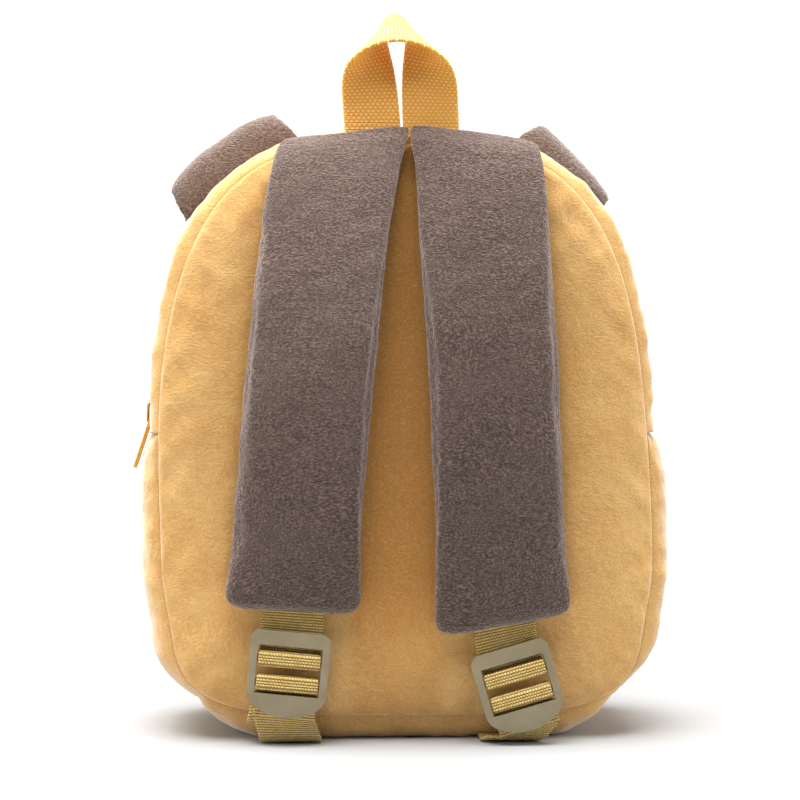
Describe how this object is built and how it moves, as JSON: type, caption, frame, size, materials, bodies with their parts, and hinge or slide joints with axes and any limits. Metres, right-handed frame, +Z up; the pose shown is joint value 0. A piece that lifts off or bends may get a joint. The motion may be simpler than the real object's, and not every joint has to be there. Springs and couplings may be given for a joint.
{
  "type": "toddler's plush backpack",
  "caption": "Small plush backpack with an arched zip top, padded shoulder straps on ladder-lock buckles, a webbing grab loop and flop ears, standing on its base.",
  "frame": {"origin": "on the floor under the middle of the base", "axes": "+Z up, +Y from the shoulder straps to the front panel, +X to the right when the straps face the viewer"},
  "size_m": [0.2212, 0.1275, 0.2938],
  "materials": {
    "body_plush": "short golden-yellow plush pile",
    "strap_plush": "short taupe plush pile",
    "strap_webbing": "woven khaki-yellow polypropylene webbing",
    "loop_webbing": "woven yellow nylon webbing",
    "buckle_plastic": "moulded olive-grey acetal",
    "zip_tape": "woven yellow zip tape",
    "zip_coil": "yellow nylon zip coil",
    "zip_metal": "yellow enamelled die-cast zinc"
  },
  "bodies": {
    "bag": {"back_panel": "body_plush", "front_panel": "body_plush", "lower_band": "body_plush", "upper_band_back": "body_plush", "upper_band_front": "body_plush", "zip_tape_back": "zip_tape", "zip_tape_front": "zip_tape", "zip_coil": "zip_coil", "zip_slider": "zip_metal", "grab_loop": "loop_webbing", "strap_pad_left": "strap_plush", "strap_pad_right": "strap_plush", "pad_webbing_left": "strap_webbing", "pad_webbing_right": "strap_webbing", "base_webbing_left": "strap_webbing", "base_webbing_right": "strap_webbing", "buckle_left": "buckle_plastic", "buckle_right": "buckle_plastic", "ear_left": "strap_plush", "ear_right": "strap_plush"},
    "puller": {"zip_puller": "zip_metal"}
  },
  "joints": [
    {"name": "puller_swing", "type": "hinge", "parent": "bag", "child": "puller", "pos_m": [-0.10446, 0, 0.1308], "axis": [0, 1, 0], "range_deg": [0, 150]}
  ]
}
